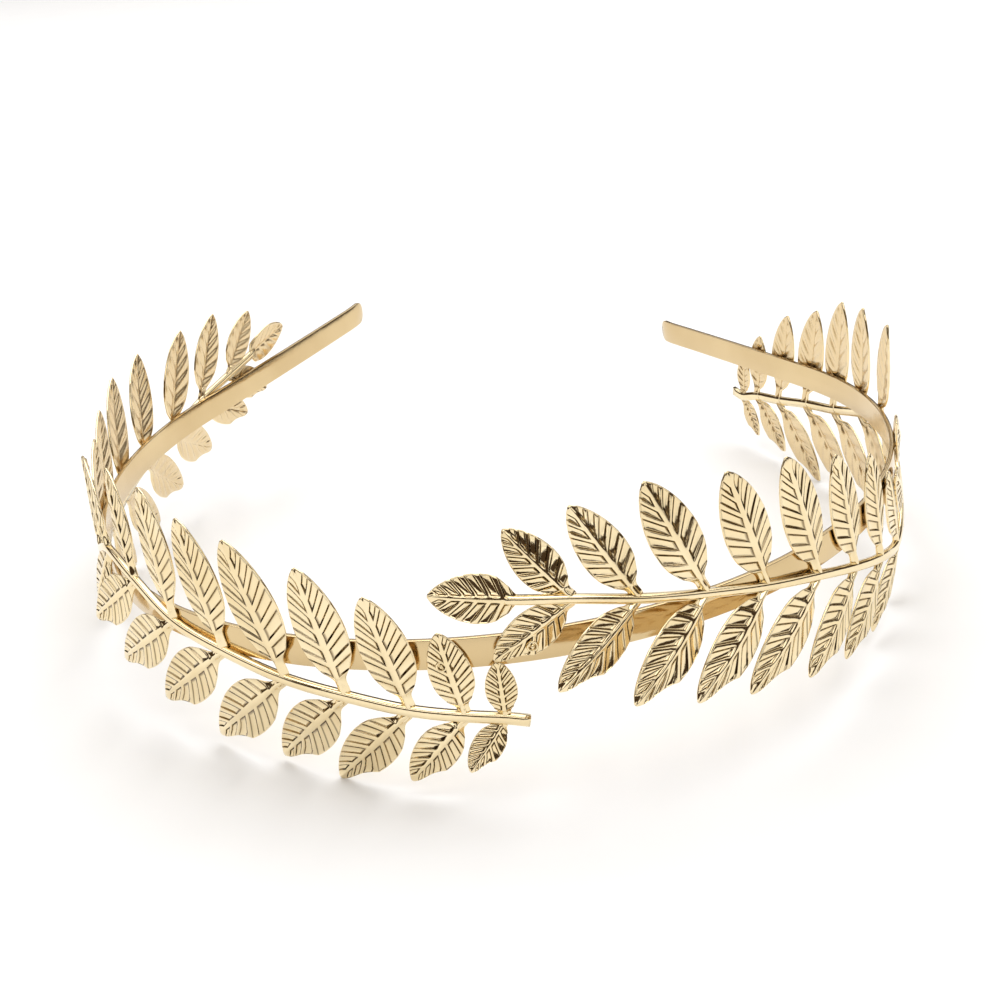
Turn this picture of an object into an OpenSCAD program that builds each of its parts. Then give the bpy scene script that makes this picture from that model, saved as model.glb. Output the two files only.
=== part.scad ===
// Leaf tiara: a strip of metal bent into an open U, with two stamped leaf sprays seated on its outer face.
// All sizes are in millimetres. x runs to the wearer's left as seen from the front of the tiara,
// y from the front to the open back and z up.

/* [Headband] */
// Height of the strip that the headband is bent from
band_height = 5; // [4.6:0.1:5.4]
// Thickness of that strip
band_thickness = 0.9; // [0.7:0.05:1.1]
// Radius of the bend across the front, to the middle of the strip
front_radius = 70.9; // [69:0.1:73]
// Angle of the front bend, from the middle of the front to one side
front_angle = 48.6; // [47:0.1:50]
// Radius of the bend round each side
side_radius = 84; // [82:0.1:86]
// Angle of each side bend
side_angle = 69.6; // [68:0.1:71]
// Length of the straight run at the back of each arm
arm_length = 54.8; // [50:0.1:58]
// Radius of the outward flare at each end
flare_radius = 22; // [16:1:30]
// Angle through which each end flares
flare_angle = 16; // [8:1:24]

/* [Leaf sprays] */
// Thickness of the sheet that the sprays are stamped from
sheet = 0.5; // [0.4:0.05:0.7]
// Width of the stem
stem_width = 1.8; // [1.7:0.1:2.1]
// Height of the stem's rounded ridge above the back of the sheet
stem_height = 1.2; // [1:0.1:1.4]
// Space between the headband and the back of the stem
seat_gap = 0.12; // [0.1:0.01:0.2]
// Width of a leaf's stalk
stalk_width = 1.6; // [1.4:0.1:1.7]
// How far a blade's middle stands above its edges
blade_dome = 0.3; // [0.2:0.05:0.5]
// How far the veins stand above the grooves between them
vein_relief = 0.36; // [0.2:0.02:0.44]
// How far a lower leaf is cut in beside its tip, as a share of half its width
tip_cut = 0.32; // [0:0.02:0.4]
// Angle through which the leaf at the tip of the stem is rolled to face up
tip_roll = 15; // [0:1:16]
// Number of raised veins on each half of a blade
vein_count = 4; // [3:1:5]

/* [Spring of the arms] */
// How far the end of the left arm is sprung up out of the plane of the front
left_lift = 7; // [0:0.5:8]
// How far the end of the right arm is sprung up out of that plane
right_lift = -4.5; // [-6:0.5:0]

/* [Rest] */
// How far the tiara leans to its left as it rests on its lower leaves
lean_left = -2.9; // [-5.5:0.1:-2.5]
// How far the tiara leans back as it rests on its lower leaves
lean_back = -1; // [-2:0.1:0]

/* [Hidden] */
GOLD = "#E2C68E";

// The stamping, a row for each pair of leaves from the cut end of the stem:
// [distance from the row before, length of each leaf from the middle of the stem, width of its blade,
// angle between the upper leaf and the stem, the same for the lower leaf]
GAP = 0;
LENGTH = 1;
WIDTH = 2;
UPPER_ANGLE = 3;
LOWER_ANGLE = 4;
PAIRS = [
    [3.7, 9.9, 5, 78, 60],
    [6, 14.7, 6.9, 71, 57],
    [8.4, 21, 8.2, 68, 54],
    [10.3, 22.7, 9, 67, 53],
    [10.6, 25.2, 9.4, 67, 50],
    [12.2, 23.2, 9.2, 68, 48],
    [12.1, 23.2, 9, 68, 48],
    [12.3, 19.4, 8.4, 57, 49],
    [12.5, 17.8, 8, 57, 46],
    [12.6, 17.2, 7.8, 70, 44],
    [12.4, 21, 8.8, 66, 44],
    [11.7, 22.6, 9, 61, 44],
    [12, 23.9, 9.2, 59, 43],
    [12.7, 22.7, 8.9, 59, 43],
    [11.8, 21.9, 8.6, 55, 42],
    [11.5, 18.9, 7.6, 49, 42],
    [10.3, 15, 7.1, 40, 41]
];
LAST = len(PAIRS) - 1;
// The leaf at the tip of the stem
TIP_LEAF = [8.8, 12.9, 7.8];

// How each spray lies on the headband, a row for the cut end, one for each pair and one for the foot of
// the tip leaf: [height of the stem above the middle of the headband, angle that the upper leaf leans
// out from the headband, the same for the lower leaf]
HEIGHT = 0;
UPPER = 1;
LOWER = 2;
LEFT_LIE = [
    [-12.2, 0, 0],
    [-11.3, 0, 24],
    [-10.4, 0, 0],
    [-9.1, 6, -8],
    [-6.9, 3, -10],
    [-4.9, 7, -5],
    [-2.1, 3, 2],
    [0.2, 0, 6],
    [4.1, -3, 13],
    [5.5, 0, 9],
    [1.4, 0, 6],
    [-3.4, 0, 5],
    [-4.4, 3, 6],
    [-3.7, 6, 8],
    [-2.3, 8, 12],
    [-1.1, 0, 15],
    [1.9, 0, 5],
    [3.8, -3, 2],
    [5.3, 0, 0]
];
RIGHT_LIE = [
    [-9.7, 0, 0],
    [-10.3, 0, 0],
    [-9, 0, 0],
    [-8.2, 0, 0],
    [-6.8, 0, 0],
    [-5.6, 0, 0],
    [-3.1, 0, 0],
    [-0.5, 0, 2],
    [-4, 0, -3],
    [-9.8, 2, -8],
    [-12.5, 0, -7],
    [-10, 0, 3],
    [-6.8, 0, 9],
    [-3.5, 0, 11],
    [-0.5, 1, 20],
    [2.2, -5, 29],
    [4.6, -6, 26],
    [6.9, -15, 6],
    [8.2, 0, 0]
];
// Where each spray's cut end lies along the headband, from the middle of the front, right counted up
LEFT_START = 7;
RIGHT_START = 193.2;

// Where the middle of the front lies when the tiara rests: the origin is under the middle of its outline
front_at = [0.0, -82.7, 24.90];

// The headband's middle line, as one half of it
half_strip = band_thickness / 2;
front_length = front_radius * front_angle * PI / 180;
side_length = side_radius * side_angle * PI / 180;
arm_angle = front_angle + side_angle;
front_centre = [0, front_radius];
side_centre = front_centre + (front_radius - side_radius) * [sin(front_angle), -cos(front_angle)];
arm_start = side_centre + side_radius * [sin(arm_angle), -cos(arm_angle)];
flare_from = front_length + side_length + arm_length;
flare_start = arm_start + arm_length * [cos(arm_angle), sin(arm_angle)];
flare_centre = flare_start + flare_radius * [sin(arm_angle), -cos(arm_angle)];
half_length = flare_from + flare_radius * flare_angle * PI / 180;
band_depth = flare_start.y;

// A point at a distance round the headband from the middle of its front, and out from its middle line
function half_point(along, out) =
    along < front_length ?
        bend_point(front_centre, front_radius, along / front_radius * 180 / PI, out)
    : along < front_length + side_length ?
        bend_point(side_centre, side_radius, front_angle + (along - front_length) / side_radius * 180 / PI, out)
    : along < flare_from ?
        arm_start + (along - front_length - side_length) * [cos(arm_angle), sin(arm_angle)]
            + out * [sin(arm_angle), -cos(arm_angle)]
    : bend_point(flare_centre, -flare_radius, arm_angle - (along - flare_from) / flare_radius * 180 / PI, out);
function bend_point(centre, radius, turn, out) = centre + (radius + out) * [sin(turn), -cos(turn)];
function band_point(along, out, height) =
    let (p = half_point(abs(along), out), lift = along < 0 ? left_lift : right_lift)
    [along < 0 ? -p.x : p.x, p.y, height + lift * pow(p.y / band_depth, 2)];

// Distances along the stem of the pairs, and of every row of a lie
function stem_distance(pair) = pair < 0 ? 0 : PAIRS[pair][GAP] + stem_distance(pair - 1);
PAIR_AT = [for (pair = [0:LAST]) stem_distance(pair)];
TIP_AT = PAIR_AT[LAST] + TIP_LEAF[GAP];
ROW_AT = concat([0], PAIR_AT, [TIP_AT]);

// A smooth curve through the heights of a lie
function row_before(t, row = 0) =
    row >= len(ROW_AT) - 2 || t < ROW_AT[row + 1] ? row : row_before(t, row + 1);
function rise(lie, row) =
    let (before = max(row - 1, 0), after = min(row + 1, len(lie) - 1))
    (lie[after][HEIGHT] - lie[before][HEIGHT]) / (ROW_AT[after] - ROW_AT[before]);
function stem_height_at(lie, t) =
    let (
        row = row_before(t),
        run = ROW_AT[row + 1] - ROW_AT[row],
        f = (t - ROW_AT[row]) / run
    )
    lie[row][HEIGHT] * (1 + 2 * f) * pow(1 - f, 2)
    + lie[row + 1][HEIGHT] * (3 - 2 * f) * f * f
    + rise(lie, row) * run * f * pow(1 - f, 2)
    - rise(lie, row + 1) * run * f * f * (1 - f);
function stem_slope(lie, t) = atan2(stem_height_at(lie, t + 0.5) - stem_height_at(lie, t - 0.5), 1);

// How far the stem has run round the headband at each row of a lie
function run_round(lie, row) =
    row == 0 ? 0
    : run_round(lie, row - 1)
        + sqrt(pow(ROW_AT[row] - ROW_AT[row - 1], 2) - pow(lie[row][HEIGHT] - lie[row - 1][HEIGHT], 2));
function runs(lie) = [for (row = [0:len(lie) - 1]) [ROW_AT[row], run_round(lie, row)]];

// The back of the stem lies this far out from the headband's middle line
seat = half_strip + seat_gap;

// A point of the stem: a distance along it, across it and out of the sheet
function stem_point(lie, start, t, across, out) =
    let (slope = stem_slope(lie, t))
    band_point(
        start - lookup(t, runs(lie)) + across * sin(slope),
        seat + out,
        stem_height_at(lie, t) + across * cos(slope)
    );

// The angle between a leaf and the stem, up from it for an upper leaf and down for a lower one
function leaf_angle(pair, side) = side > 0 ? PAIRS[pair][UPPER_ANGLE] : -PAIRS[pair][LOWER_ANGLE];

// A point of a leaf: a distance along its midrib from the middle of the stem, across it and out of the
// sheet. The leaf leans out or in as one, from the edge of the stem.
function leaf_point(lie, start, pair, side, along, across, out) =
    let (
        t = PAIR_AT[pair],
        turn = leaf_angle(pair, side) + stem_slope(lie, t),
        lean = lie[pair + 1][side > 0 ? UPPER : LOWER],
        free = max(along - stem_width / 2, 0),
        flat = along - free + free * cos(lean) - out * sin(lean)
    )
    band_point(
        start - lookup(t, runs(lie)) - flat * cos(turn) + across * sin(turn),
        seat + out * cos(lean) + free * sin(lean),
        stem_height_at(lie, t) + flat * sin(turn) + across * cos(turn)
    );

// Half the width of a blade at a share of its length, for a blade one unit wide
function blade_outline(share) = 0.5 * pow(share / 0.41, 0.48) * pow((1 - share) / 0.59, 0.69);

// A lower leaf is cut in beside its tip, on the side away from the tip of the stem
CUT_FROM = 0.6;
function cut_in(share, cut) =
    let (x = max(0, (share - CUT_FROM) / (1 - CUT_FROM)))
    1 - 4 * cut * x * (1 - x);

// A section of stem or leaf has five points on its front and three on its back: [across, out]
function stem_section(width, height) = [
    [-width / 2, sheet],
    [-width / 3.4, height * 0.86],
    [0, height],
    [width / 3.4, height * 0.86],
    [width / 2, sheet],
    [-width / 2, 0],
    [0, 0],
    [width / 2, 0]
];

// The rows across a blade alternate between veins and grooves, and swing forward at its edges
blade_rows = 2 * vein_count + 1;
function blade_row(leaf, row, cut = 0) =
    let (
        rib = 0.86 * row / (blade_rows - 1),
        edge = 1 - 0.94 * pow(1 - rib, 1.8),
        half = leaf[WIDTH] * blade_outline(edge),
        cut_half = half * cut_in(edge, cut),
        dome = blade_dome * min(1, half / 2.5),
        hollow = dome * min(1, rib * 5),
        vein = (row % 2 == 0 ? -0.5 : 0.5) * vein_relief,
        middle = (rib + edge) / 2
    )
    [
        [edge, -cut_half, sheet],
        [middle, -cut_half / 2, sheet + 0.7 * dome + vein],
        [rib, 0, sheet + dome + 0.3],
        [middle, half / 2, sheet + 0.7 * dome + vein],
        [edge, half, sheet],
        [edge, -cut_half, 0],
        [rib, 0, hollow],
        [edge, half, 0]
    ];

// All the points of one leaf: the end of its stalk, its blade row by row, and its pointed end
stalk_share = 0.15;
function leaf_points(lie, start, pair, side) =
    let (
        leaf = PAIRS[pair],
        stalk = stalk_share * leaf[LENGTH],
        blade = leaf[LENGTH] - stalk
    )
    [
        for (p = stem_section(stalk_width, stem_height - 0.1))
            leaf_point(lie, start, pair, side, stalk, p[0], p[1]),
        for (row = [0:blade_rows - 1], p = blade_row(leaf, row, side > 0 ? 0 : tip_cut))
            leaf_point(lie, start, pair, side, stalk + blade * p[0] + (row == 0 ? 0.4 : 0), p[1], p[2]),
        leaf_point(lie, start, pair, side, leaf[LENGTH], 0, sheet),
        leaf_point(lie, start, pair, side, leaf[LENGTH], 0, 0)
    ];

// The stem has a section at each side and the middle of every pair's stalks, and one on the way to the next
root_half = 1.3;
STEM_SECTIONS = [
    0,
    for (pair = [0:LAST])
        let (t = PAIR_AT[pair], next = pair < LAST ? PAIR_AT[pair + 1] : TIP_AT)
        each [t - root_half, t, t + root_half, (t + next) / 2 + (pair < LAST ? 0 : root_half / 2)]
];
function stem_points(lie, start) = [
    for (t = STEM_SECTIONS, p = stem_section(stem_width, stem_height))
        stem_point(lie, start, t, p[0], p[1]),
    for (p = stem_section(stalk_width, stem_height - 0.1))
        stem_point(lie, start, TIP_AT, p[0], p[1]),
    for (row = [0:blade_rows - 1], p = blade_row(TIP_LEAF, row))
        tip_leaf_point(lie, start, TIP_LEAF[LENGTH] * p[0] + (row == 0 ? 0.4 : 0), p[1], p[2]),
    tip_leaf_point(lie, start, TIP_LEAF[LENGTH], 0, sheet),
    tip_leaf_point(lie, start, TIP_LEAF[LENGTH], 0, 0)
];
function tip_leaf_point(lie, start, along, across, out) =
    let (slope = stem_slope(lie, TIP_AT - 0.5))
    band_point(
        start - lookup(TIP_AT, runs(lie)) - along * cos(slope) + across * sin(slope),
        seat + out * cos(tip_roll) - across * sin(tip_roll),
        stem_height_at(lie, TIP_AT) + along * sin(slope) + across * cos(slope) * cos(tip_roll)
            + out * sin(tip_roll)
    );

// Faces between sections, by the numbers of their points: 0 to 4 on the front, 5 to 7 on the back
SECTION = 8;
function section(first) = [for (k = [0:SECTION - 1]) first + k];
function quad(a, b, c, d) = [[a, b, c], [a, c, d]];
function joined(a, b, low_rim = true, high_rim = true) = [
    for (k = [0:3]) each quad(a[k], b[k], b[k + 1], a[k + 1]),
    for (k = [5:6]) each quad(a[k], a[k + 1], b[k + 1], b[k]),
    if (high_rim) each quad(a[4], b[4], b[7], a[7]),
    if (low_rim) each quad(a[0], a[5], b[5], b[0])
];
function pointed(a, tip) = [
    for (k = [0:3]) [a[k], tip, a[k + 1]],
    for (k = [5:6]) [a[k], a[k + 1], tip + 1],
    each quad(a[4], tip, tip + 1, a[7]),
    each quad(a[0], a[5], tip + 1, tip)
];
// A leaf's foot is three points on the front of the stem's edge and three on its back
function rooted(front, back, b) = [
    [front[0], b[0], b[1]],
    [front[0], b[1], front[1]],
    [front[1], b[1], b[2]],
    [front[1], b[2], b[3]],
    [front[1], b[3], front[2]],
    [front[2], b[3], b[4]],
    each quad(back[0], back[1], b[6], b[5]),
    each quad(back[1], back[2], b[7], b[6]),
    each quad(front[2], b[4], b[7], back[2]),
    each quad(front[0], back[0], b[5], b[0])
];
function cut_end(a) = [
    [a[0], a[1], a[5]],
    [a[1], a[2], a[6]],
    [a[1], a[6], a[5]],
    [a[2], a[3], a[6]],
    [a[3], a[4], a[7]],
    [a[3], a[7], a[6]]
];

stem_count = len(STEM_SECTIONS);
stem_end = (stem_count + 1 + blade_rows) * SECTION;
leaf_size = (1 + blade_rows) * SECTION + 2;
function at_stalks(index) = index % 4 == 1 || index % 4 == 2;
function stem_faces() = [
    each cut_end(section(0)),
    for (k = [0:stem_count + blade_rows - 1])
        let (open = k >= stem_count || !at_stalks(k))
        each joined(section(k * SECTION), section((k + 1) * SECTION), open, open),
    each pointed(section(stem_end - SECTION), stem_end)
];
function leaf_faces(pair, side) =
    let (
        first = stem_end + 2 + (2 * pair + (side > 0 ? 0 : 1)) * leaf_size,
        roots = [for (k = [1:3]) (4 * pair + k) * SECTION],
        ordered = side > 0 ? [roots[2], roots[1], roots[0]] : roots,
        front = [for (r = ordered) r + (side > 0 ? 4 : 0)],
        back = [for (r = ordered) r + (side > 0 ? 7 : 5)]
    )
    [
        each rooted(front, back, section(first)),
        for (row = [0:blade_rows - 1])
            each joined(section(first + row * SECTION), section(first + (row + 1) * SECTION)),
        each pointed(section(first + blade_rows * SECTION), first + leaf_size - 2)
    ];

module spray(lie, start) {
    points = [
        each stem_points(lie, start),
        for (pair = [0:LAST], side = [1, -1]) each leaf_points(lie, start, pair, side)
    ];
    faces = [
        each stem_faces(),
        for (pair = [0:LAST], side = [1, -1]) each leaf_faces(pair, side)
    ];
    polyhedron(points = points, faces = faces, convexity = 10);
}

// The tiara as it rests by itself, with the origin under the middle of its outline
module resting() {
    translate(front_at)
        rotate([lean_back, lean_left, 0])
            children();
}

// The headband runs from one rounded end to the other, as a strip with four corners at each section
function end_section(k) = [half_length - band_height / 2 * (1 - sin(k * 85 / END_STEPS)), cos(k * 85 / END_STEPS)];
END_STEPS = 5;
band_step = (half_length - band_height / 2) / round((half_length - band_height / 2) / 4.2);
BAND_HALF = [
    for (along = [band_step / 2:band_step:half_length - band_height / 2 - 1]) [along, 1],
    for (k = [0:END_STEPS]) end_section(k)
];
BAND_SECTIONS = [
    for (k = [len(BAND_HALF) - 1:-1:0]) [-BAND_HALF[k][0], BAND_HALF[k][1]],
    each BAND_HALF
];
module headband_strip() {
    half = band_height / 2;
    count = len(BAND_SECTIONS);
    points = [
        for (row = BAND_SECTIONS, corner = [[-1, -1], [1, -1], [1, 1], [-1, 1]])
            band_point(row[0], corner[0] * half_strip, corner[1] * half * row[1])
    ];
    faces = [
        [3, 2, 1, 0],
        for (k = [0:count - 2], side = [0:3])
            let (a = 4 * k + side, b = 4 * k + (side + 1) % 4)
            each quad(a, b, b + 4, a + 4),
        [for (k = [0:3]) 4 * (count - 1) + k]
    ];
    polyhedron(points = points, faces = faces, convexity = 6);
}

module headband() {
    color(GOLD) resting() headband_strip();
}

module left_leaf_spray() {
    color(GOLD) resting() spray(LEFT_LIE, LEFT_START);
}

module right_leaf_spray() {
    color(GOLD) resting() spray(RIGHT_LIE, RIGHT_START);
}

headband();
left_leaf_spray();
right_leaf_spray();
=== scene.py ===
# %% [markdown]
# # A leaf tiara in pale gold
# The real tiara is a strip of springy brass bent into an open U, with two leaf sprays struck from thin
# sheet and welded round its outer face. All of it is plated in pale gold. The CAD solids already give
# the sizes and the main shapes. This script dresses them: it strikes one leaf in full detail, copies it
# for both sprays, lays them round the headband, and lights the tiara on a white floor.

# %% Load the CAD solids
import math

import bmesh
import bpy
import numpy as np
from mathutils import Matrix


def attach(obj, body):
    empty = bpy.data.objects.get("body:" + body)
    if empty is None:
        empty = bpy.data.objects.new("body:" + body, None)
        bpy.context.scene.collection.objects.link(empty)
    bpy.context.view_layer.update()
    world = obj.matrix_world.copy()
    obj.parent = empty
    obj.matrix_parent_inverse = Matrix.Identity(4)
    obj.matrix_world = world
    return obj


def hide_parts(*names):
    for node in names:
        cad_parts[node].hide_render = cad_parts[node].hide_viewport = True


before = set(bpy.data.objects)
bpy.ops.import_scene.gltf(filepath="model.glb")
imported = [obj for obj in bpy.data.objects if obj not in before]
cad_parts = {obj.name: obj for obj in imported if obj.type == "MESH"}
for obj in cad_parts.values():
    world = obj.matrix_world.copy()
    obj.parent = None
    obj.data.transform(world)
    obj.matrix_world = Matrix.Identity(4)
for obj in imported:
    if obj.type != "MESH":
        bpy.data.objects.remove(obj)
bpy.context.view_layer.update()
print("nodes", sorted(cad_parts))

# %% [markdown]
# ## The shape of the headband
# Everything on this tiara follows one line, the middle of the headband. It is made of plain arcs: a bend
# across the front, a wider bend round each side, a straight arm and a small flare at the end. The arms
# are sprung a little up and down, as thin strip is after handling. The numbers are those of the CAD
# source, in millimetres, and one function turns a distance round the band into a place in the room.

# %% The line of the headband
MM = 0.001
BAND_HEIGHT = 5.0
BAND_THICKNESS = 0.9
FRONT_RADIUS, FRONT_ANGLE = 70.9, math.radians(48.6)
SIDE_RADIUS, SIDE_ANGLE = 84.0, math.radians(69.6)
ARM_LENGTH = 54.8
FLARE_RADIUS, FLARE_ANGLE = 22.0, math.radians(16)
LEFT_LIFT, RIGHT_LIFT = 7.0, -4.5
LEAN_BACK, LEAN_LEFT = math.radians(-1), math.radians(-2.9)
FRONT_AT = np.array([0, -82.7, 24.9])


def outward(turn):
    """The direction away from a bend's centre, once the line has turned by that angle."""
    return np.stack([np.sin(turn), -np.cos(turn)], -1)


def onward(turn):
    """The direction along the line, once it has turned by that angle."""
    return np.stack([np.cos(turn), np.sin(turn)], -1)


ARM_ANGLE = FRONT_ANGLE + SIDE_ANGLE
FRONT_LENGTH = FRONT_RADIUS * FRONT_ANGLE
SIDE_LENGTH = SIDE_RADIUS * SIDE_ANGLE
FRONT_CENTRE = np.array([0.0, FRONT_RADIUS])
SIDE_CENTRE = FRONT_CENTRE + (FRONT_RADIUS - SIDE_RADIUS) * outward(FRONT_ANGLE)
ARM_START = SIDE_CENTRE + SIDE_RADIUS * outward(ARM_ANGLE)
FLARE_START = ARM_START + ARM_LENGTH * onward(ARM_ANGLE)
FLARE_CENTRE = FLARE_START + FLARE_RADIUS * outward(ARM_ANGLE)
FLARE_FROM = FRONT_LENGTH + SIDE_LENGTH + ARM_LENGTH
HALF_LENGTH = FLARE_FROM + FLARE_RADIUS * FLARE_ANGLE
BAND_DEPTH = FLARE_START[1]
print("half the strip is", round(HALF_LENGTH, 1), "mm long")


# %% From a place on the flat to a place in the room
def half_line(along, out):
    """Where points lie, seen from above, on the right half of the band."""
    front = FRONT_CENTRE + (FRONT_RADIUS + out)[:, None] * outward(along / FRONT_RADIUS)
    side_turn = FRONT_ANGLE + (along - FRONT_LENGTH) / SIDE_RADIUS
    side = SIDE_CENTRE + (SIDE_RADIUS + out)[:, None] * outward(side_turn)
    past = along - FRONT_LENGTH - SIDE_LENGTH
    arm = ARM_START + past[:, None] * onward(ARM_ANGLE) + out[:, None] * outward(ARM_ANGLE)
    flare_turn = ARM_ANGLE - (along - FLARE_FROM) / FLARE_RADIUS
    flare = FLARE_CENTRE + (out - FLARE_RADIUS)[:, None] * outward(flare_turn)
    return np.select(
        [(along < FRONT_LENGTH)[:, None], (past < 0)[:, None], (along < FLARE_FROM)[:, None]],
        [front, side, arm],
        flare,
    )


def turn_about(axis, angle):
    """A turn about x (0), y (1) or z (2), as a matrix."""
    c, s = math.cos(angle), math.sin(angle)
    a, b = [k for k in range(3) if k != axis]
    m = np.eye(3)
    m[a, a] = m[b, b] = c
    m[b, a], m[a, b] = (s, -s) if axis != 1 else (-s, s)
    return m


REST_TURN = turn_about(1, LEAN_LEFT) @ turn_about(0, LEAN_BACK)


def band_point(along, out, height):
    """Places round the resting tiara, in metres: right of the middle is counted up, left down."""
    plan = half_line(np.abs(along), out)
    lift = np.where(along < 0, LEFT_LIFT, RIGHT_LIFT) * (plan[:, 1] / BAND_DEPTH) ** 2
    x = np.where(along < 0, -plan[:, 0], plan[:, 0])
    points = np.stack([x, plan[:, 1], height + lift], -1)
    return (points @ REST_TURN.T + FRONT_AT) * MM


print("middle of the front", band_point(np.zeros(1), np.zeros(1), np.zeros(1)).round(4))

# %% [markdown]
# ## The camera
# The photograph looks down on the front from a little above, from close by, with a lens about as long
# as a portrait lens. The camera is placed first, so that every later piece is judged from there.

# %% Place the camera
CAMERA_AT = (0.02068, -0.31495, 0.14779)
CAMERA_TURN = [math.radians(angle) for angle in (67.031, 3.744, 2.172)]
bpy.ops.object.camera_add(location=CAMERA_AT, rotation=CAMERA_TURN)
camera = bpy.context.object
camera.name = "camera"
camera.data.lens = 62.9
camera.data.sensor_width = 36
camera.data.clip_start = 0.01
bpy.context.scene.camera = camera
print("camera at", CAMERA_AT)

# %% [markdown]
# ## Helpers for modelling
# Each new piece starts as a primitive and is shaped in edit mode, as by hand. An operator acts on
# all that is selected, so these helpers clear the selection first and then pick points by number,
# or edges by a test of their two ends.


# %% Selecting
def only(piece):
    """Selects one object and nothing else."""
    for other in list(bpy.context.selected_objects):
        other.select_set(False)
    piece.select_set(True)
    bpy.context.view_layer.objects.active = piece


def start_edit(piece, mode="VERT"):
    """Goes into edit mode on one piece, with nothing selected."""
    only(piece)
    bpy.ops.object.mode_set(mode="EDIT")
    bpy.ops.mesh.select_mode(type=mode)
    bpy.ops.mesh.select_all(action="DESELECT")


def end_edit():
    bpy.ops.object.mode_set(mode="OBJECT")


def pick(piece, numbers):
    """In edit mode, selects the points with those numbers."""
    shape = bmesh.from_edit_mesh(piece.data)
    shape.verts.ensure_lookup_table()
    bpy.ops.mesh.select_all(action="DESELECT")
    for n in numbers:
        shape.verts[n].select = True
    shape.select_flush(True)
    bmesh.update_edit_mesh(piece.data)


def pick_edges(piece, chosen):
    """In edit mode, selects the edges whose two ends pass a test."""
    shape = bmesh.from_edit_mesh(piece.data)
    bpy.ops.mesh.select_all(action="DESELECT")
    for edge in shape.edges:
        if chosen(edge.verts[0].co, edge.verts[1].co):
            edge.select = True
    bmesh.update_edit_mesh(piece.data)


print("helpers for selecting are ready")

# %% Shaping
# An edge runs along a bar when it is longer than LONG in x and goes less than ALIGNED to the side
LONG, ALIGNED = 1.0, 0.02


def cut_across(piece, cuts):
    """In edit mode, cuts a bar across by dividing every edge that runs along it."""
    pick_edges(piece, lambda a, b: abs(a.x - b.x) > LONG and (a - b).yz.length < ALIGNED)
    bpy.ops.mesh.subdivide(number_cuts=cuts)


def apply_modifier(piece, kind, **settings):
    """Adds a modifier, sets it and applies it."""
    only(piece)
    modifier = piece.modifiers.new(kind.title(), kind)
    for name, value in settings.items():
        setattr(modifier, name, value)
    bpy.ops.object.modifier_apply(modifier=modifier.name)


def points_of(piece):
    """The piece's points as rows of numbers."""
    flat = np.empty(len(piece.data.vertices) * 3, dtype=np.float32)
    piece.data.vertices.foreach_get("co", flat)
    return flat.reshape(-1, 3).astype(float)


def put_points(piece, points):
    """Moves the piece's points to those places."""
    piece.data.vertices.foreach_set("co", points.astype(np.float32).ravel())
    piece.data.update()


print("helpers for shaping are ready")

# %% [markdown]
# ## The headband
# The real one is cut from flat strip, its ends are rounded, its edges are tumbled smooth, and then it is
# bent. It is made here in the same order: a flat bar, rounded corners at its ends, many cross cuts so
# that it can follow the bends, and a small bevel on its edges. Only the bending is done by a formula,
# the same one as the CAD source uses, so that the strip lies exactly in its solid.

# %% Cut the strip and round its ends
END_ROUND = 0.48 * BAND_HEIGHT
bpy.ops.mesh.primitive_cube_add(size=1, scale=(2 * HALF_LENGTH, BAND_THICKNESS, BAND_HEIGHT))
strip = bpy.context.object
strip.name = "headband_strip"
only(strip)
bpy.ops.object.transform_apply(location=False, rotation=False, scale=True)
start_edit(strip, "EDGE")
pick_edges(strip, lambda a, b: abs(a.y - b.y) > BAND_THICKNESS / 2)
bpy.ops.mesh.bevel(offset=END_ROUND, segments=7, affect="EDGES")
for cuts in (12, 15):
    cut_across(strip, cuts)
end_edit()
print("strip", len(strip.data.polygons), "faces")

# %% Bevel its edges and bend it
EDGE_ROUND, SHARP = 0.16, math.radians(50)
apply_modifier(strip, "BEVEL", width=EDGE_ROUND, segments=2, limit_method="ANGLE", angle_limit=SHARP)
flat_strip = points_of(strip)
put_points(strip, band_point(flat_strip[:, 0], -flat_strip[:, 1], flat_strip[:, 2]))
only(strip)
bpy.ops.object.shade_smooth_by_angle(angle=math.radians(35))
print("headband", len(strip.data.polygons), "faces")

# %% [markdown]
# ## One leaf
# All the leaves come from one kind of die: a raised midrib that runs on into the stalk, six raised veins
# on each half with sunk panels between them, and a raised rim. A grid has rows and columns, which is
# just what such a leaf needs. Its rows become veins and panels, each row swept forward at its ends, and
# its columns become midrib, panel and rim. Every pair of points is drawn to its width, moved to its
# place and lifted to its height. The ridge of the stalk climbs at its foot, to meet the top of the stem.
# Solidify gives the sheet its thickness, the panels are pressed down on both its faces, and one level of
# subdivision rounds it all, as a die does.

# %% Where the rows and columns of the leaf go
LEAF_LENGTH, LEAF_WIDTH, STALK = 22.6, 9.0, 3.4
SHEET, DOME = 0.5, 0.3
VEINS = 6
# The veins leave the midrib on this share of the blade
RIB_SHARE = 0.86
# Where the blade is widest, and how its outline curves towards its foot and its tip
WIDEST_AT, FOOT_CURVE, TIP_CURVE = 0.41, 0.48, 0.69
# How far ahead of the midrib a row meets the rim: the less is left, the closer they are
RIM_LEFT, RIM_CURVE = 0.94, 1.8
POINT_HALF_WIDTH = 0.25
# A row per cut across the stalk: distance from the middle of the stem, half its width
STALK_ROWS = [(0.2, 1.0), (1.25, 1.12), (2.2, 1.0), (3.2, 1.1)]
# Each vein and the panel behind it take four rows: share of the step, and whether it is in the panel
VEIN_STEP = [(0.0, False), (0.08, True), (0.58, True), (0.66, False)]


def outline(share):
    """Half the width of a blade at a share of its length."""
    foot, tip = share / WIDEST_AT, (1 - share) / (1 - WIDEST_AT)
    return LEAF_WIDTH / 2 * foot**FOOT_CURVE * tip**TIP_CURVE


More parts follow.
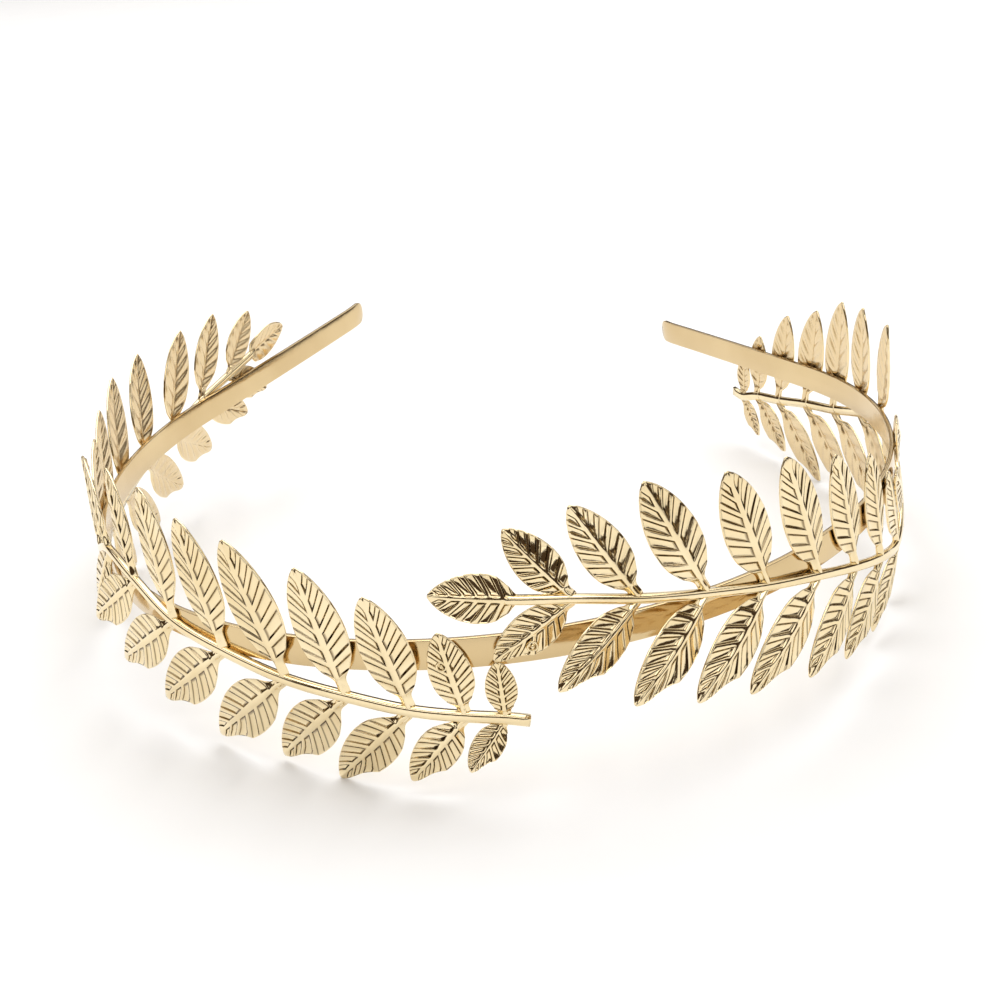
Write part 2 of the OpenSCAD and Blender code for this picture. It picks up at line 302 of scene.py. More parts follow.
def blade_row(step):
    """Where a row starts on the midrib, where it ends at the rim, and half its width."""
    rib = RIB_SHARE * step
    rim = 1 - RIM_LEFT * (1 - rib) ** RIM_CURVE
    blade = LEAF_LENGTH - STALK
    return STALK + blade * rib, STALK + blade * rim, outline(rim)


rows = [(at, at, half, False) for at, half in STALK_ROWS]
for vein in range(VEINS):
    rows += [(*blade_row((vein + part) / VEINS), sunk) for part, sunk in VEIN_STEP]
rows += [(*blade_row(1), False), (LEAF_LENGTH, LEAF_LENGTH, POINT_HALF_WIDTH, False)]
ROW_STEPS = len(rows) - 1
print(len(rows), "rows")

# %% Shape the leaf from a grid
# How far each column lies from the middle, as a share: on a narrow row and on a wide one
NARROW = [0, 0.42, 0.56, 0.72, 0.84, 1]
WIDE = [0, 0.12, 0.19, 0.85, 0.91, 1]
# The half widths from which a row has the wide columns, and the whole dome
WIDE_FROM, DOMED_FROM = 3.0, 2.5
# How far each column stands above the dome
RAISED = [0.34, 0.24, 0.16, 0.14, 0.12, 0]
HALF_COLUMNS = len(RAISED) - 1
bpy.ops.mesh.primitive_grid_add(x_subdivisions=ROW_STEPS, y_subdivisions=2 * HALF_COLUMNS, size=2)
leaf = bpy.context.object
leaf.name = "leaf"
place = points_of(leaf)
row_of = np.rint((place[:, 0] + 1) / 2 * ROW_STEPS).astype(int)
column_of = np.abs(np.rint(place[:, 1] * HALF_COLUMNS)).astype(int)
start_edit(leaf)
for r, (rib, rim, half, _) in enumerate(rows):
    wide = min(1, half / WIDE_FROM)
    dome = DOME * min(1, half / DOMED_FROM)
    for k in range(HALF_COLUMNS + 1):
        share = NARROW[k] + (WIDE[k] - NARROW[k]) * wide
        pick(leaf, np.flatnonzero((row_of == r) & (column_of == k)))
        if k:
            draw_in = share * half / (k / HALF_COLUMNS)
            bpy.ops.transform.resize(value=(1, draw_in, 1), center_override=(0, 0, 0))
        forward = rib + (rim - rib) * share - (2 * r / ROW_STEPS - 1)
        up = SHEET + dome * (1 - share**2) + RAISED[k]
        bpy.ops.transform.translate(value=(forward, 0, up))
end_edit()
print("leaf grid", len(leaf.data.polygons), "faces")

# %% Shape the stalk
# The inner columns are the ridge of the stalk and the outer ones its edges, which lie lower
RIDGE_COLUMNS = 3
EDGE_DROP = 0.3
# How far the ridge of the first three rows climbs towards the top of the stem
STALK_RISE = (0.1, 0.26, 0.14)
start_edit(leaf)
pick(leaf, np.flatnonzero((row_of < len(STALK_ROWS)) & (column_of > 1)))
bpy.ops.transform.translate(value=(0, 0, -EDGE_DROP))
for r, rise in enumerate(STALK_RISE):
    pick(leaf, np.flatnonzero((row_of == r) & (column_of < RIDGE_COLUMNS)))
    bpy.ops.transform.translate(value=(0, 0, rise))
end_edit()
print("stalk", len(STALK_ROWS), "rows")

# %% Give the leaf its thickness and press its panels
PANEL_DEPTH = 0.32
PANEL_COLUMNS = (2, 3)
front_faces = len(leaf.data.polygons)
points_in_front = len(leaf.data.vertices)
apply_modifier(leaf, "SOLIDIFY", thickness=SHEET, offset=-1)
sunk_rows = [r for r, row in enumerate(rows) if row[3]]
in_panels = np.flatnonzero(np.isin(row_of, sunk_rows) & np.isin(column_of, PANEL_COLUMNS))
start_edit(leaf)
pick(leaf, np.concatenate([in_panels, in_panels + points_in_front]))
bpy.ops.transform.translate(value=(0, 0, -PANEL_DEPTH))
end_edit()
print("panels pressed at", len(in_panels), "points of each face")

# %% Mark the back of the leaf and round it all
# The leaf's map runs from 0 at its foot to 1 at its tip. Its back, and later the stem, are put on two
# places before the first vein, so that the finish can tell them from the struck front.
BACK_MARK, STEM_MARK = 0.0, 0.05
leaf_map = leaf.data.uv_layers.active.data
for face in list(leaf.data.polygons)[front_faces : 2 * front_faces]:
    for corner in face.loop_indices:
        leaf_map[corner].uv.x = BACK_MARK
apply_modifier(leaf, "SUBSURF", levels=1, render_levels=1)
leaf_flat = points_of(leaf)
print("leaf", len(leaf.data.polygons), "faces", leaf_flat.min(0).round(2), leaf_flat.max(0).round(2))

# %% [markdown]
# ## The stem
# The stem is the same sheet pressed into a half-round ridge. It starts as a long bar as wide as the stem.
# Its two upper edges are bevelled until they meet in a round, and it is cut across many times, so that it
# can snake up and down across the headband. Its first end is a plain cut. The other one runs on a little
# way and is hidden under the leaf at the tip.

# %% The stamping and how it lies, from the CAD source
# A row per pair of leaves: distance from the row before, length of its leaves, width of their blades,
# angle of the upper leaf to the stem, angle of the lower leaf
PAIRS = np.array([
    (3.7, 9.9, 5, 78, 60), (6, 14.7, 6.9, 71, 57), (8.4, 21, 8.2, 68, 54), (10.3, 22.7, 9, 67, 53),
    (10.6, 25.2, 9.4, 67, 50), (12.2, 23.2, 9.2, 68, 48), (12.1, 23.2, 9, 68, 48),
    (12.3, 19.4, 8.4, 57, 49), (12.5, 17.8, 8, 57, 46), (12.6, 17.2, 7.8, 70, 44),
    (12.4, 21, 8.8, 66, 44), (11.7, 22.6, 9, 61, 44), (12, 23.9, 9.2, 59, 43),
    (12.7, 22.7, 8.9, 59, 43), (11.8, 21.9, 8.6, 55, 42), (11.5, 18.9, 7.6, 49, 42),
    (10.3, 15, 7.1, 40, 41),
])
TIP_GAP, TIP_LENGTH, TIP_WIDTH = 8.8, 12.9, 7.8
# A row for the cut end, one per pair and one for the foot of the tip leaf: height of the stem above the
# middle of the headband, outward lean of the upper leaf and of the lower leaf in degrees
LEFT_LIE = np.array([
    (-12.2, 0, 0), (-11.3, 0, 24), (-10.4, 0, 0), (-9.1, 6, -8), (-6.9, 3, -10), (-4.9, 7, -5),
    (-2.1, 3, 2), (0.2, 0, 6), (4.1, -3, 13), (5.5, 0, 9), (1.4, 0, 6), (-3.4, 0, 5), (-4.4, 3, 6),
    (-3.7, 6, 8), (-2.3, 8, 12), (-1.1, 0, 15), (1.9, 0, 5), (3.8, -3, 2), (5.3, 0, 0),
])
RIGHT_LIE = np.array([
    (-9.7, 0, 0), (-10.3, 0, 0), (-9, 0, 0), (-8.2, 0, 0), (-6.8, 0, 0), (-5.6, 0, 0), (-3.1, 0, 0),
    (-0.5, 0, 2), (-4, 0, -3), (-9.8, 2, -8), (-12.5, 0, -7), (-10, 0, 3), (-6.8, 0, 9),
    (-3.5, 0, 11), (-0.5, 1, 20), (2.2, -5, 29), (4.6, -6, 26), (6.9, -15, 6), (8.2, 0, 0),
])
# Where the cut end of each stem is, as a distance round the band
LEFT_START, RIGHT_START = 7, 193.2
STEM_WIDTH, STEM_HEIGHT = 1.8, 1.2
# The back of a spray stands this far out from the middle of the strip
SEAT = BAND_THICKNESS / 2 + 0.12
PAIR_AT = np.cumsum(PAIRS[:, 0])
TIP_AT = PAIR_AT[-1] + TIP_GAP
ROW_AT = np.concatenate([[0], PAIR_AT, [TIP_AT]])
print("the stem is", round(TIP_AT, 1), "mm long and has", len(PAIRS), "pairs of leaves")


# %% How the stem snakes across the headband
def stem_height(lie, t):
    """The stem's height above the middle of the band, as a smooth curve through the rows of a lie."""
    heights = lie[:, 0]
    count = len(heights)
    before, after = np.maximum(np.arange(count) - 1, 0), np.minimum(np.arange(count) + 1, count - 1)
    rise = (heights[after] - heights[before]) / (ROW_AT[after] - ROW_AT[before])
    row = np.clip(np.searchsorted(ROW_AT, t, side="right") - 1, 0, count - 2)
    run = ROW_AT[row + 1] - ROW_AT[row]
    f = (t - ROW_AT[row]) / run
    return (
        heights[row] * (1 + 2 * f) * (1 - f) ** 2
        + heights[row + 1] * (3 - 2 * f) * f * f
        + rise[row] * run * f * (1 - f) ** 2
        - rise[row + 1] * run * f * f * (1 - f)
    )


def stem_slope(lie, t):
    """The angle at which the stem climbs, from its heights half a millimetre before and after."""
    return np.arctan(stem_height(lie, t + 0.5) - stem_height(lie, t - 0.5))


def run_round(lie, t):
    """How far round the band the stem has come after that distance along it."""
    steps = np.sqrt(np.diff(ROW_AT) ** 2 - np.diff(lie[:, 0]) ** 2)
    runs = np.concatenate([[0], np.cumsum(steps)])
    last = steps[-1] / (ROW_AT[-1] - ROW_AT[-2])
    return np.interp(t, ROW_AT, runs) + np.maximum(t - ROW_AT[-1], 0) * last + np.minimum(t, 0)


print("the left stem runs", round(float(run_round(LEFT_LIE, TIP_AT)), 1), "mm round the band")


# %% Shape the stem
def map_to_stem(piece):
    """Puts a whole piece on the map's place for the stem, where the finish draws no lines."""
    for corner in piece.data.uv_layers.active.data:
        corner.uv = (STEM_MARK, 0.5)


STEM_ON, STEM_ROUND = 1.5, 0.75
bpy.ops.mesh.primitive_cube_add(
    size=1,
    location=((TIP_AT + STEM_ON) / 2, 0, STEM_HEIGHT / 2),
    scale=(TIP_AT + STEM_ON, STEM_WIDTH, STEM_HEIGHT),
)
stem = bpy.context.object
stem.name = "stem"
only(stem)
bpy.ops.object.transform_apply(location=True, rotation=False, scale=True)
start_edit(stem, "EDGE")
pick_edges(stem, lambda a, b: min(a.z, b.z) > STEM_HEIGHT / 2 and abs(a.x - b.x) > LONG)
bpy.ops.mesh.bevel(offset=STEM_ROUND, segments=4, profile=0.55, affect="EDGES")
for cuts in (11, 13):
    cut_across(stem, cuts)
end_edit()
map_to_stem(stem)
stem_flat = points_of(stem)
print("stem", len(stem.data.polygons), "faces", stem_flat.min(0).round(2), stem_flat.max(0).round(2))

# %% [markdown]
# ## The sprays
# A stamping is struck flat and then bent round the headband with its leaves leaning a little in or out.
# A Curve modifier could bend it, but it would tilt the leaves where the arms are sprung up or down. So
# the same short formulas as in the CAD source lay each leaf: its angle to the stem, its lean from the
# stem's edge, and its place round the band. Where a leaf is spot-welded to the strip, the electrode
# leaves a little crater, and one of these shows on the front of each spray. All the copies of a spray
# are then joined to one piece.

# %% Lay the leaves and the stem
# The tip leaf's stalk starts at a share of its width and has all of it at a distance from its foot, and
# its blade turns to face up over the first stretch after the stalk
TIP_FOOT_SHARE, TIP_FOOT_LENGTH = 0.45, 3.2
TIP_ROLL, TIP_ROLL_LENGTH = math.radians(15), 1.5
# The stem's width at its cut end, and what it loses towards its tip, as shares
STEM_FOOT_SHARE, STEM_TAPER = 1.04, 0.2


def lay_leaf(points, lie, start, pair, upper):
    """Places on the band for points of the upper or the lower leaf of a pair."""
    t = PAIR_AT[pair]
    angle, lean = (PAIRS[pair, 3], lie[pair + 1, 1]) if upper else (-PAIRS[pair, 4], lie[pair + 1, 2])
    turn = float(stem_slope(lie, t)) + math.radians(angle)
    lean = math.radians(lean)
    along, across, out = points[:, 0], -points[:, 1], points[:, 2]
    free = np.maximum(along - STEM_WIDTH / 2, 0)
    flat = along - free + free * math.cos(lean) - out * math.sin(lean)
    return band_point(
        start - run_round(lie, t) - flat * math.cos(turn) + across * math.sin(turn),
        SEAT + out * math.cos(lean) + free * math.sin(lean),
        stem_height(lie, t) + flat * math.sin(turn) + across * math.cos(turn),
    )


def lay_tip(points, lie, start, t):
    """Places on the band for points of the leaf at the tip, which is rolled to face up."""
    turn = float(stem_slope(lie, TIP_AT - 0.5))
    along, out = points[:, 0], points[:, 2]
    widening = np.clip(along / TIP_FOOT_LENGTH, 0, 1)
    across = -points[:, 1] * (TIP_FOOT_SHARE + (1 - TIP_FOOT_SHARE) * widening)
    roll = TIP_ROLL * np.clip((along - STALK) / TIP_ROLL_LENGTH, 0, 1)
    return band_point(
        start - run_round(lie, t) - along * math.cos(turn) + across * math.sin(turn),
        SEAT + out * np.cos(roll) - across * np.sin(roll),
        stem_height(lie, t) + along * math.sin(turn) + across * math.cos(turn) * np.cos(roll)
        + out * np.sin(roll),
    )


def lay_stem(points, lie, start):
    """Places on the band for points of the stem, which grows thinner towards its tip."""
    t, out = points[:, 0], points[:, 2]
    across = -points[:, 1] * (STEM_FOOT_SHARE - STEM_TAPER * t / TIP_AT)
    slope = stem_slope(lie, t)
    return band_point(
        start - run_round(lie, t) + across * np.sin(slope),
        SEAT + out,
        stem_height(lie, t) + across * np.cos(slope),
    )


print("the left tip leaf's foot is at", lay_tip(np.zeros((1, 3)), LEFT_LIE, LEFT_START, TIP_AT).round(3))

# %% Copies of the leaf in other sizes
# A copy's width changes from this distance on, over this length, so its stalk stays as thick
WIDTH_FROM, WIDTH_OVER = 2.5, 2.5
# How deep a lower leaf is cut in beside its tip, as a share, and from what share of the blade on
TIP_CUT, CUT_FROM = 0.32, 0.6
# However narrow a copy is, it keeps this share of the relief
RELIEF_KEPT = 0.6


def sized(length, width, cut=0.0):
    """The leaf's points for another length and width, cut in on one side beside its tip."""
    along, across, out = leaf_flat.T
    blade = np.clip((along - WIDTH_FROM) / WIDTH_OVER, 0, 1)
    factor = width / LEAF_WIDTH
    share = (along - STALK) / (LEAF_LENGTH - STALK)
    x = np.maximum(0, (share - CUT_FROM) / (1 - CUT_FROM))
    side = np.where(across > 0, 1 - 4 * cut * x * (1 - x), 1)
    return np.stack([
        along * length / LEAF_LENGTH,
        across * side * (1 + (factor - 1) * blade),
        SHEET + (out - SHEET) * (RELIEF_KEPT + (1 - RELIEF_KEPT) * factor),
    ], -1)


def copy_of(piece, points):
    """A copy with its own mesh and its points at other places."""
    twin = bpy.data.objects.new(piece.name + "_copy", piece.data.copy())
    bpy.context.collection.objects.link(twin)
    put_points(twin, points)
    return twin


print("the widest copy is", round(float(np.ptp(sized(25.2, 9.4)[:, 1])), 2), "mm wide")

# %% The weld marks
# A row per mark: pair, whether it is on the upper leaf, place along and across the leaf
LEFT_WELDS = [(1, True, 9.2, 0.9)]
RIGHT_WELDS = [(16, False, 9.2, 1.7)]
RING_RADIUS, RING_THICKNESS, BEAD_RADIUS = 0.72, 0.2, 0.34
WELD_OUT = 0.78


def weld_mark(along, across):
    """A little crater on the flat leaf: a ring with a bead in it."""
    at = (along, across, WELD_OUT)
    bpy.ops.mesh.primitive_torus_add(
        location=at, major_radius=RING_RADIUS, minor_radius=RING_THICKNESS,
        major_segments=20, minor_segments=6,
    )
    ring = bpy.context.object
    bpy.ops.mesh.primitive_uv_sphere_add(location=at, radius=BEAD_RADIUS, segments=14, ring_count=8)
    bead = bpy.context.object
    only(ring)
    bead.select_set(True)
    bpy.ops.object.join()
    bpy.ops.object.transform_apply(location=True, rotation=False, scale=False)
    map_to_stem(ring)
    return ring


print(len(LEFT_WELDS) + len(RIGHT_WELDS), "weld marks")


# %% Put the sprays together
def make_spray(name, lie, start, welds):
    """One whole spray: a stem, a pair of leaves for each row, a leaf at the tip and its weld marks."""
    parts = [copy_of(stem, lay_stem(stem_flat, lie, start))]
    for pair, (_, length, width, _, _) in enumerate(PAIRS):
        for upper, cut in ((True, 0), (False, TIP_CUT)):
            points = lay_leaf(sized(length, width, cut), lie, start, pair, upper)
            parts.append(copy_of(leaf, points))
    whole = TIP_LENGTH / (1 - STALK / LEAF_LENGTH)
    foot = TIP_AT - (whole - TIP_LENGTH)
    parts.append(copy_of(leaf, lay_tip(sized(whole, TIP_WIDTH), lie, start, foot)))
    for pair, upper, along, across in welds:
        mark = weld_mark(along, across)
        put_points(mark, lay_leaf(points_of(mark), lie, start, pair, upper))
        parts.append(mark)
    only(parts[0])
    for part in parts:
        part.select_set(True)
    bpy.ops.object.join()
    spray = bpy.context.object
    spray.name = name
    spray.data.name = name
    bpy.ops.object.shade_smooth()
    return spray


left_spray = make_spray("left_spray", LEFT_LIE, LEFT_START, LEFT_WELDS)
right_spray = make_spray("right_spray", RIGHT_LIE, RIGHT_START, RIGHT_WELDS)
for pattern in (leaf, stem):
    bpy.data.objects.remove(pattern)
for spray in (left_spray, right_spray):
    print(spray.name, sum(len(p.vertices) - 2 for p in spray.data.polygons), "triangles")

# %% [markdown]
# ## Pale gold plate
# Thin gold plate over brass is a metal of one warm colour. What the eye reads is its finish: nearly a
# mirror on the struck sprays, a little softer on the strip, with fine grain from polishing and a few
# duller places from handling. The strip's tones are painted darker and browner, as painted shade for the
# leaves' shade on it and for its darker arms. One node group holds that wear, and both finishes use it
# with their own values. Dark brown lines are painted round the die's panels: painted shade, standing for
# the dark room that the steps of the panels reflect. A second group finds them from the leaf's rows and
# columns, and also tells the sheet's back, which is never polished as well as its front.


# %% The wear of the plate, as a node group
def node(tree, kind, place, **settings):
    """A new node at a place in the tree, with its settings."""
    made = tree.nodes.new(kind)
    made.location = place
    for name, value in settings.items():
        setattr(made, name, value)
    return made


GRAIN_SHARE = 0.25
wear = bpy.data.node_groups.new("plate_wear", "ShaderNodeTree")
for name, default in (("Grain size", 900.0), ("Patch size", 60.0)):
    socket = wear.interface.new_socket(name, in_out="INPUT", socket_type="NodeSocketFloat")
    socket.default_value = default
for name in ("Patches", "Height"):
    wear.interface.new_socket(name, in_out="OUTPUT", socket_type="NodeSocketFloat")
wear_start = node(wear, "NodeGroupInput", (-700, 0))
wear_end = node(wear, "NodeGroupOutput", (500, 0))
own_place = node(wear, "ShaderNodeTexCoord", (-700, 250))
patches = node(wear, "ShaderNodeTexNoise", (-450, 200))
patches.inputs["Detail"].default_value = 3
grain = node(wear, "ShaderNodeTexNoise", (-450, -100))
grain.inputs["Detail"].default_value = 5
grain.inputs["Roughness"].default_value = 0.65
wave = node(wear, "ShaderNodeTexNoise", (-450, -400))
wave.inputs["Scale"].default_value = 260
relief = node(wear, "ShaderNodeMath", (0, -200), operation="MULTIPLY_ADD")
relief.inputs[1].default_value = GRAIN_SHARE
for texture in (patches, grain, wave):
    wear.links.new(own_place.outputs["Object"], texture.inputs["Vector"])
wear.links.new(wear_start.outputs["Patch size"], patches.inputs["Scale"])
wear.links.new(wear_start.outputs["Grain size"], grain.inputs["Scale"])
wear.links.new(grain.outputs["Fac"], relief.inputs[0])
wear.links.new(wave.outputs["Fac"], relief.inputs[2])
wear.links.new(patches.outputs["Fac"], wear_end.inputs["Patches"])
wear.links.new(relief.outputs[0], wear_end.inputs["Height"])
print("group", wear.name)


# %% Short ways to add nodes
def maths(tree, operation, place, first, second=None):
    """A maths node whose inputs are sockets or plain numbers."""
    made = node(tree, "ShaderNodeMath", place, operation=operation)
    for slot, value in enumerate((first, second)):
        if isinstance(value, bpy.types.NodeSocket):
            tree.links.new(value, made.inputs[slot])
        elif value is not None:
            made.inputs[slot].default_value = value
    return made.outputs[0]


def ramp(tree, place, value, start, end, low=0.0, high=1.0):
    """A smooth step between two values."""
    made = node(tree, "ShaderNodeMapRange", place, interpolation_type="SMOOTHSTEP")
    for name, number in (("From Min", start), ("From Max", end), ("To Min", low), ("To Max", high)):
        made.inputs[name].default_value = number
    tree.links.new(value, made.inputs["Value"])
    return made.outputs["Result"]


print("maths and ramp are ready")

# %% The leaf's rows and columns, from its map
lines = bpy.data.node_groups.new("panel_lines", "ShaderNodeTree")
for name in ("Line", "Panel", "Back"):
    lines.interface.new_socket(name, in_out="OUTPUT", socket_type="NodeSocketFloat")
lines_end = node(lines, "NodeGroupOutput", (1300, 0))
own_map = node(lines, "ShaderNodeTexCoord", (-900, 0))
split = node(lines, "ShaderNodeSeparateXYZ", (-700, 0))
lines.links.new(own_map.outputs["UV"], split.inputs[0])
row_at = maths(lines, "MULTIPLY", (-500, 100), split.outputs["X"], ROW_STEPS)
vein_at = maths(lines, "SUBTRACT", (-300, 100), row_at, len(STALK_ROWS))
phase = maths(lines, "FLOORED_MODULO", (-100, 100), vein_at, len(VEIN_STEP))
from_middle = maths(lines, "SUBTRACT", (-500, -150), split.outputs["Y"], 0.5)
across_middle = maths(lines, "ABSOLUTE", (-300, -150), from_middle)
column_at = maths(lines, "MULTIPLY", (-100, -150), across_middle, 2 * HALF_COLUMNS)
print("the map has", ROW_STEPS, "steps along and", HALF_COLUMNS, "to each side")

# %% Lines round the panels, and where there are none
# A panel lies half-way between two rows of its step and outward of a column. A distance of 1 from its
# middle is its edge, where the line is drawn.
PANEL_ROW, PANEL_COLUMN, EDGE = 1.5, 2.5, 1.0
LINE_FULL, LINE_GONE = 0.05, 0.4
RIM_FROM, RIM_TO = 3.9, 4.8
# How far the blade's first and last row are blended, in rows
BLEND = 0.1
row_off = maths(lines, "SUBTRACT", (100, 100), phase, PANEL_ROW)
from_panel = maths(lines, "ABSOLUTE", (300, 100), row_off)
from_column = maths(lines, "SUBTRACT", (300, -150), PANEL_COLUMN, column_at)
box = maths(lines, "MAXIMUM", (500, 0), from_panel, from_column)
off_edge = maths(lines, "SUBTRACT", (700, 0), box, EDGE)
near_edge = maths(lines, "ABSOLUTE", (900, 0), off_edge)
# The Line output is the mask for the painted shade along the panel edges
edge_line = ramp(lines, (900, 200), near_edge, LINE_FULL, LINE_GONE, 1.0, 0.0)
begun = ramp(lines, (500, 300), vein_at, -BLEND, BLEND)
ended = ramp(lines, (500, 500), row_at, ROW_STEPS - 1 - BLEND, ROW_STEPS - 1 + BLEND, 1.0, 0.0)
within_rim = ramp(lines, (500, 700), column_at, RIM_FROM, RIM_TO, 1.0, 0.0)
between = maths(lines, "MULTIPLY", (700, 400), begun, ended)
on_blade = maths(lines, "MULTIPLY", (900, 500), between, within_rim)
drawn = maths(lines, "MULTIPLY", (1100, 200), edge_line, on_blade)
lines.links.new(drawn, lines_end.inputs["Line"])
print("the line is drawn on the edge of each panel")

# %% The panels and the back
PANEL_FULL, PANEL_GONE = 0.55, 1.45
BACK_FULL, BACK_GONE = 0.002, 0.008
inside = ramp(lines, (900, -200), box, PANEL_FULL, PANEL_GONE, 1.0, 0.0)
pressed = maths(lines, "MULTIPLY", (1100, -100), inside, on_blade)
lines.links.new(pressed, lines_end.inputs["Panel"])
behind = ramp(lines, (1100, -300), split.outputs["X"], BACK_FULL, BACK_GONE, 1.0, 0.0)
lines.links.new(behind, lines_end.inputs["Back"])
print("group", lines.name)

# %% The two finishes
PATCH_FROM, PATCH_TO = 0.3, 0.7


def plate(name, pale, warm, smooth, dull, relief_depth, grain_size, patch_size):
    """A gold plate: two tones, a range of roughness and the depth of its fine waves in metres."""
    material = bpy.data.materials.new(name)
    material.use_nodes = True
    tree = material.node_tree
    shader = tree.nodes["Principled BSDF"]
    shader.inputs["Metallic"].default_value = 1
    worn = node(tree, "ShaderNodeGroup", (-900, 0), node_tree=wear)
    worn.inputs["Grain size"].default_value = grain_size
    worn.inputs["Patch size"].default_value = patch_size
    colour = node(tree, "ShaderNodeMix", (-450, 250), data_type="RGBA")
    colour.inputs["A"].default_value = (*pale, 1)
    colour.inputs["B"].default_value = (*warm, 1)
    tone = ramp(tree, (-650, 200), worn.outputs["Patches"], PATCH_FROM, PATCH_TO)
    tree.links.new(tone, colour.inputs["Factor"])
    tree.links.new(colour.outputs["Result"], shader.inputs["Base Color"])
    gloss = ramp(tree, (-650, -50), worn.outputs["Patches"], PATCH_FROM, PATCH_TO, smooth, dull)
    tree.links.new(gloss, shader.inputs["Roughness"])
    bump = node(tree, "ShaderNodeBump", (-250, -250))
    bump.inputs["Distance"].default_value = relief_depth
    tree.links.new(worn.outputs["Height"], bump.inputs["Height"])
    tree.links.new(bump.outputs["Normal"], shader.inputs["Normal"])
    return material, colour.outputs["Result"], gloss, bump


struck_gold, plain_tone, plain_gloss, fine_bump = plate(
    "struck_gold", pale=(0.93, 0.785, 0.51), warm=(0.84, 0.685, 0.41),
    smooth=0.05, dull=0.13, relief_depth=0.00005, grain_size=1500, patch_size=70,
)
# The strip's two tones are darker and browner than the sprays': painted shade, for the shade the leaves
# cast on its front and for its darker arms
shaded_satin_gold = plate(
    "shaded_satin_gold", pale=(0.71, 0.55, 0.31), warm=(0.63, 0.47, 0.25),
    smooth=0.07, dull=0.18, relief_depth=0.00004, grain_size=2500, patch_size=40,
)[0]
for piece, material in ((strip, shaded_satin_gold), (left_spray, struck_gold), (right_spray, struck_gold)):
    piece.data.materials.clear()
    piece.data.materials.append(material)
print("finishes", struck_gold.name, shaded_satin_gold.name)

# %% Painted shade in the lines, and the duller back of the sheet
LINE_SHARE, BACK_SHARE, BACK_DULLNESS = 0.7, 0.8, 0.16
tree = struck_gold.node_tree
shader = tree.nodes["Principled BSDF"]
marks = node(tree, "ShaderNodeGroup", (-900, 500), node_tree=lines)
# The lines are painted dark brown: painted shade, for the dark room that the steps of the panels reflect
painted_line_shade = node(tree, "ShaderNodeMix", (-250, 450), data_type="RGBA")
painted_line_shade.inputs["B"].default_value = (0.09, 0.05, 0.022, 1)
back_tone = node(tree, "ShaderNodeMix", (-50, 450), data_type="RGBA")
back_tone.inputs["B"].default_value = (0.74, 0.58, 0.35, 1)
front_only = maths(tree, "SUBTRACT", (-650, 650), 1.0, marks.outputs["Back"])
lined = maths(tree, "MULTIPLY", (-650, 500), marks.outputs["Line"], LINE_SHARE)
darker = maths(tree, "MULTIPLY", (-450, 650), lined, front_only)
tree.links.new(darker, painted_line_shade.inputs["Factor"])
tree.links.new(plain_tone, painted_line_shade.inputs["A"])
tree.links.new(painted_line_shade.outputs["Result"], back_tone.inputs["A"])
backed = maths(tree, "MULTIPLY", (-250, 700), marks.outputs["Back"], BACK_SHARE)
tree.links.new(backed, back_tone.inputs["Factor"])
tree.links.new(back_tone.outputs["Result"], shader.inputs["Base Color"])
back_gloss = maths(tree, "MULTIPLY", (-450, -50), marks.outputs["Back"], BACK_DULLNESS)
whole_gloss = maths(tree, "ADD", (-250, -50), plain_gloss, back_gloss)
tree.links.new(whole_gloss, shader.inputs["Roughness"])
print("lines and back added to", struck_gold.name)

# %% A little more depth in the panels
PANEL_RELIEF = 0.0003
panel_bump = node(tree, "ShaderNodeBump", (-50, -250), invert=True)
panel_bump.inputs["Distance"].default_value = PANEL_RELIEF
tree.links.new(marks.outputs["Panel"], panel_bump.inputs["Height"])
tree.links.new(fine_bump.outputs["Normal"], panel_bump.inputs["Normal"])
tree.links.new(panel_bump.outputs["Normal"], shader.inputs["Normal"])
print("panels deepened by", PANEL_RELIEF, "m in the shading")

# %% [markdown]
# ## Tie the pieces to the part
# Every visible piece stands for one CAD solid and moves with the part's only body.

# %% Hide the solid that each piece stands for, and tie the piece to the body
for piece, solid in (
    (strip, "headband"),
    (left_spray, "left_leaf_spray"),
    (right_spray, "right_leaf_spray"),
):
    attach(piece, "root")
    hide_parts(solid)
print("pieces tied")

# %% [markdown]
# ## Floor and light
# Polished metal shows its surroundings. The photograph is cut out on plain white, so they are guessed
# from what the gold reflects: a white table, one broad soft light above it, and a pale panel on each of
# the four sides. The panels hang clear of the floor. The gap under them stays dark, and it is what draws
# the brown lines and the dark halves of the leaves. A low strip in front fills a part of that gap, so
# that the front doesn't turn too dark.

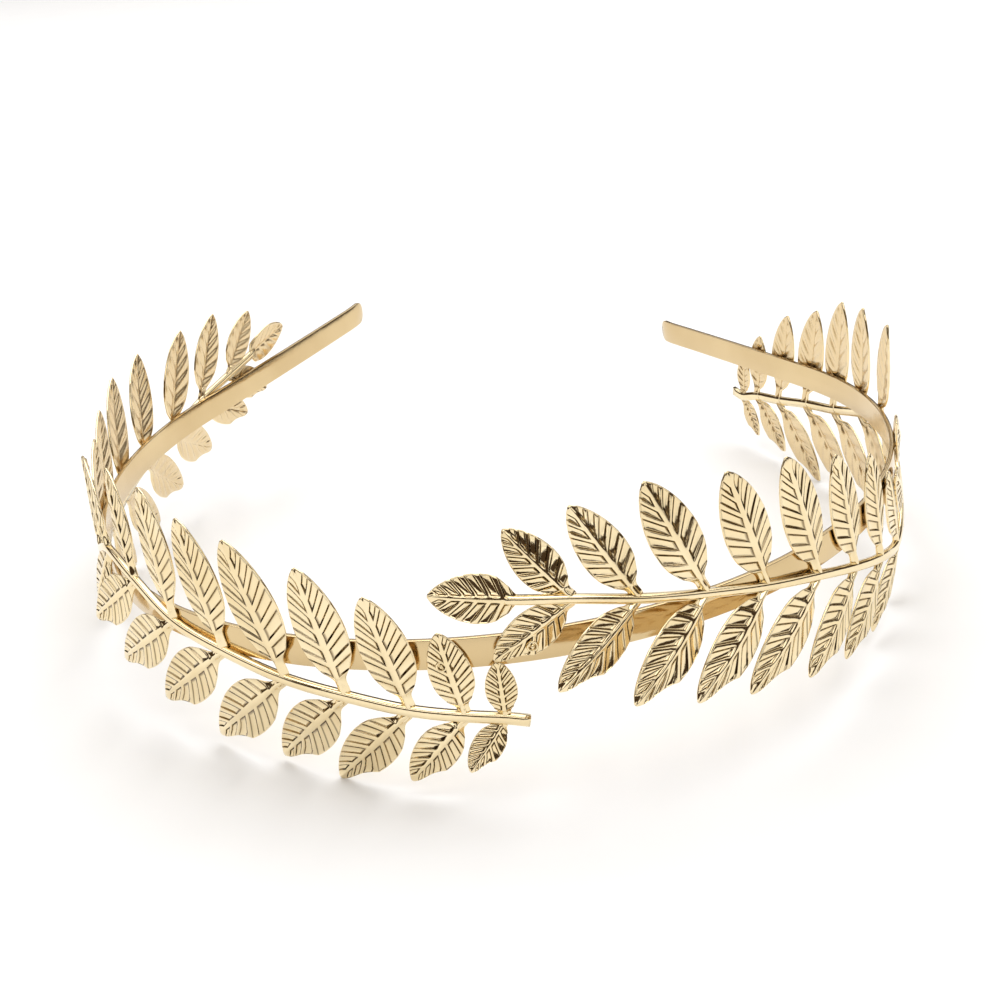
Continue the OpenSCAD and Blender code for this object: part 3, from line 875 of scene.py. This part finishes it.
# %% The floor
bpy.ops.mesh.primitive_plane_add(size=8, location=(0, 0, 0))
floor = bpy.context.object
floor.name = "floor"
paper = bpy.data.materials.new("white_paper")
paper.use_nodes = True
paper_shader = paper.node_tree.nodes["Principled BSDF"]
paper_shader.inputs["Roughness"].default_value = 0.9
fibre = node(paper.node_tree, "ShaderNodeTexNoise", (-500, 0))
fibre.inputs["Scale"].default_value = 300
paper_tone = node(paper.node_tree, "ShaderNodeMix", (-250, 100), data_type="RGBA")
paper_tone.inputs["A"].default_value = (0.88, 0.88, 0.88, 1)
paper_tone.inputs["B"].default_value = (0.92, 0.92, 0.915, 1)
paper.node_tree.links.new(fibre.outputs["Fac"], paper_tone.inputs["Factor"])
paper.node_tree.links.new(paper_tone.outputs["Result"], paper_shader.inputs["Base Color"])
floor.data.materials.append(paper)
print("floor ready")

# %% The lights
# All the lights are this wide, and the panels stand this far from the middle of the tiara
LIGHT_WIDTH, PANEL_AWAY = 2.2, 1.3
# A row per panel: name, direction in x and in y, height of its middle, its own height, power
PANELS = (
    ("front_panel", 0, -1, 1.25, 0.84, 8),
    ("front_foot", 0, -1, 0.05, 0.1, 0.8),
    ("left_panel", -1, 0, 1.0, 0.84, 6.5),
    ("right_panel", 1, 0, 0.9, 0.84, 5.5),
    ("back_panel", 0, 1, 0.8, 0.84, 5),
)


def soft_light(name, place, aim, height, power):
    """A soft light of that height and power, which faces a point."""
    bpy.ops.object.light_add(type="AREA", location=place)
    light = bpy.context.object
    light.name = name
    light.data.shape = "RECTANGLE"
    light.data.size, light.data.size_y = LIGHT_WIDTH, height
    light.data.energy = power
    x, y, z = [a - b for a, b in zip(aim, place)]
    light.rotation_euler = (math.atan2(math.hypot(x, y), -z), 0, math.atan2(y, x) - math.pi / 2)


soft_light("overhead", (0, 0.3, 1.6), (0, 0, 0), LIGHT_WIDTH, 38)
for name, x, y, z, height, power in PANELS:
    soft_light(name, (x * PANEL_AWAY, y * PANEL_AWAY, z), (0, 0, z), height, power)
print(1 + len(PANELS), "lights")

# %% The room
room = bpy.data.worlds.new("room")
room.use_nodes = True
room.node_tree.nodes["Background"].inputs["Color"].default_value = (0.2, 0.13, 0.08, 1)
room.node_tree.nodes["Background"].inputs["Strength"].default_value = 0.3
bpy.context.scene.world = room
bpy.context.scene.view_settings.view_transform = "Standard"
print("room ready")
